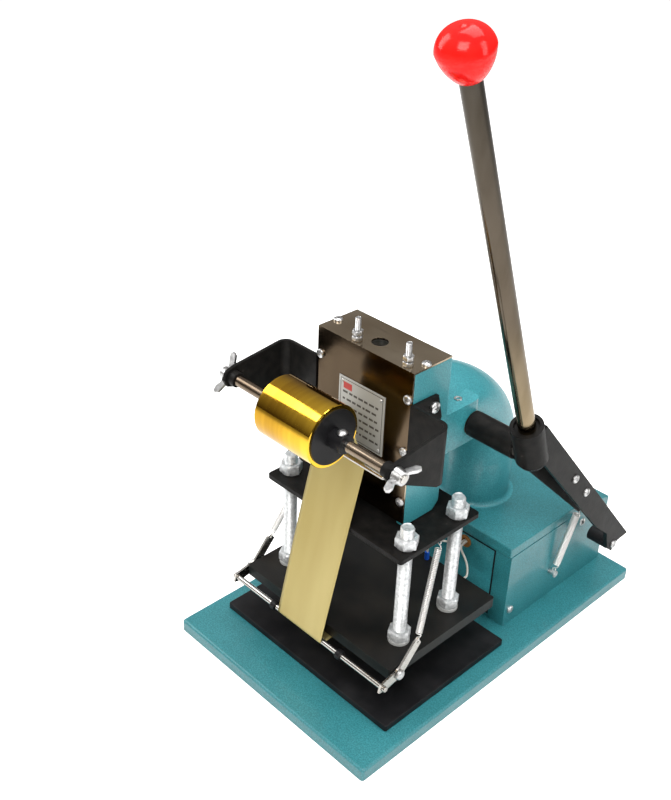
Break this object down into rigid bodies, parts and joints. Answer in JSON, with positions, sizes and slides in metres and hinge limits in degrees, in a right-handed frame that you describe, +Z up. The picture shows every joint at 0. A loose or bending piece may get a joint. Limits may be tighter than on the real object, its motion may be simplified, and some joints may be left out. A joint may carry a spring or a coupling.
{
  "type": "hot foil stamping press",
  "caption": "Hand-lever hot foil stamping press: cast gooseneck head on a base plate, heated plate on threaded pillars, foil roll and web ahead of it.",
  "frame": {"origin": "centre of the base plate's underside", "axes": "+Z up, +X to the operator's right, +Y to the back of the machine"},
  "size_m": [0.2504, 0.382, 0.5899],
  "materials": {
    "teal_paint": "gloss, slightly speckled",
    "black_paint": "semi-gloss",
    "black_rubber": "matte",
    "zinc_plate": "zinc plated",
    "bright_steel": "ground",
    "polished_sheet": "polished stainless",
    "silver_plate": "printed",
    "bushing": "turned",
    "chrome_tube": "polished",
    "red_knob": "gloss",
    "gold_foil": "metallised film",
    "pale_foil": "metallised film, back side",
    "card_core": "plain",
    "black_plastic": "moulded",
    "hot_plate": "black oxide",
    "blue_sleeve": "shrink sleeve",
    "white_sleeving": "braided sleeving",
    "panel_face": "printed",
    "clear_window": "clear",
    "lamp_lens": "translucent",
    "washer_board": "mineral board"
  },
  "bodies": {
    "frame": {"base_plate": "teal_paint", "work_pad": "black_rubber", "housing_shell": "teal_paint", "housing_lid": "teal_paint", "front_panel": "teal_paint", "panel_seals": "black_rubber", "head_casting": "teal_paint", "shaft_bushes": "bushing", "head_cheeks": "teal_paint", "head_top": "bright_steel", "ram_gibs": "bright_steel", "head_cover": "polished_sheet", "adjusters": "zinc_plate", "name_plate": "silver_plate", "foil_brackets": "black_paint", "pan_screws": "zinc_plate", "foil_shaft": "bright_steel", "shaft_spacers": "bright_steel", "web_rod": "bright_steel", "spring_anchor": "zinc_plate", "controller_case": "panel_face", "meter_window": "clear_window", "indicator_lamps": "lamp_lens", "switch_case": "black_plastic", "cable_gland": "black_plastic"},
    "ram": {"ram": "bright_steel", "upper_plate": "black_paint", "heated_plate": "hot_plate", "plate_pillars": "zinc_plate", "pillar_nuts": "zinc_plate", "insulating_washers": "washer_board", "heaters_and_sensor": "bright_steel", "pivot_screws": "zinc_plate", "foil_web": "pale_foil", "heater_lead": "white_sleeving", "lead_terminal": "blue_sleeve"},
    "lever": {"pinion_shaft": "bright_steel", "shaft_collar": "zinc_plate", "shaft_sleeve": "black_paint", "lever_socket": "black_paint", "lever_tube": "chrome_tube", "lever_knob": "red_knob", "crank_bar": "black_paint", "crank_link": "black_paint", "crank_spacers": "black_rubber", "crank_screws": "zinc_plate", "return_spring": "bright_steel"},
    "roll": {"foil_roll": "gold_foil", "roll_core": "card_core", "roll_flanges": "black_plastic", "flange_screws": "zinc_plate"},
    "guide": {"guide_arms": "bright_steel", "guide_bar": "bright_steel", "guide_springs": "bright_steel", "bar_collars": "black_plastic"},
    "wing_nut_right": {"wing_nut_right": "zinc_plate"},
    "wing_nut_left": {"wing_nut_left": "zinc_plate"},
    "temperature_dial": {"temperature_dial": "black_plastic"},
    "meter_needle": {"meter_needle": "black_plastic"},
    "switch_rocker": {"switch_rocker": "black_plastic"}
  },
  "joints": [
    {"name": "lever_turn", "type": "hinge", "parent": "frame", "child": "lever", "pos_m": [0, -0.004, 0.2345], "axis": [1, 0, 0], "range_deg": [0, 70], "stiffness_Nm_per_rad": 1, "springref_deg": -91.67, "deforming": ["return_spring"]},
    {"name": "ram_slide", "type": "slide", "parent": "frame", "child": "ram", "axis": [0, 0, 1], "range_m": [-0.027, 0], "deforming": ["foil_web", "heater_lead"]},
    {"name": "guide_turn", "type": "hinge", "parent": "ram", "child": "guide", "pos_m": [0, -0.126, 0.058], "axis": [1, 0, 0], "range_deg": [-12, 0], "stiffness_Nm_per_rad": 0.4, "springref_deg": 20.05, "deforming": ["guide_springs"]},
    {"name": "roll_spin", "type": "hinge", "parent": "frame", "child": "roll", "pos_m": [0, -0.148, 0.271], "axis": [1, 0, 0], "continuous": true},
    {"name": "wing_nut_right_spin", "type": "hinge", "parent": "frame", "child": "wing_nut_right", "pos_m": [0.098, -0.148, 0.271], "axis": [1, 0, 0], "continuous": true},
    {"name": "wing_nut_left_spin", "type": "hinge", "parent": "frame", "child": "wing_nut_left", "pos_m": [-0.098, -0.148, 0.271], "axis": [1, 0, 0], "continuous": true},
    {"name": "dial_turn", "type": "hinge", "parent": "frame", "child": "temperature_dial", "pos_m": [-0.09, 0.104, 0.037], "axis": [1, 0, 0], "range_deg": [0, 270]},
    {"name": "needle_turn", "type": "hinge", "parent": "frame", "child": "meter_needle", "pos_m": [-0.088, 0.104, 0.066], "axis": [1, 0, 0], "range_deg": [0, 80], "stiffness_Nm_per_rad": 0.0002, "springref_deg": -28.65},
    {"name": "rocker_turn", "type": "hinge", "parent": "frame", "child": "switch_rocker", "pos_m": [-0.086, 0.157, 0.044], "axis": [0, 1, 0], "range_deg": [-5, 5]}
  ],
  "couplings": [
    {"joint": "ram_slide", "follows": "lever_turn", "m_per_rad": -0.022}
  ]
}
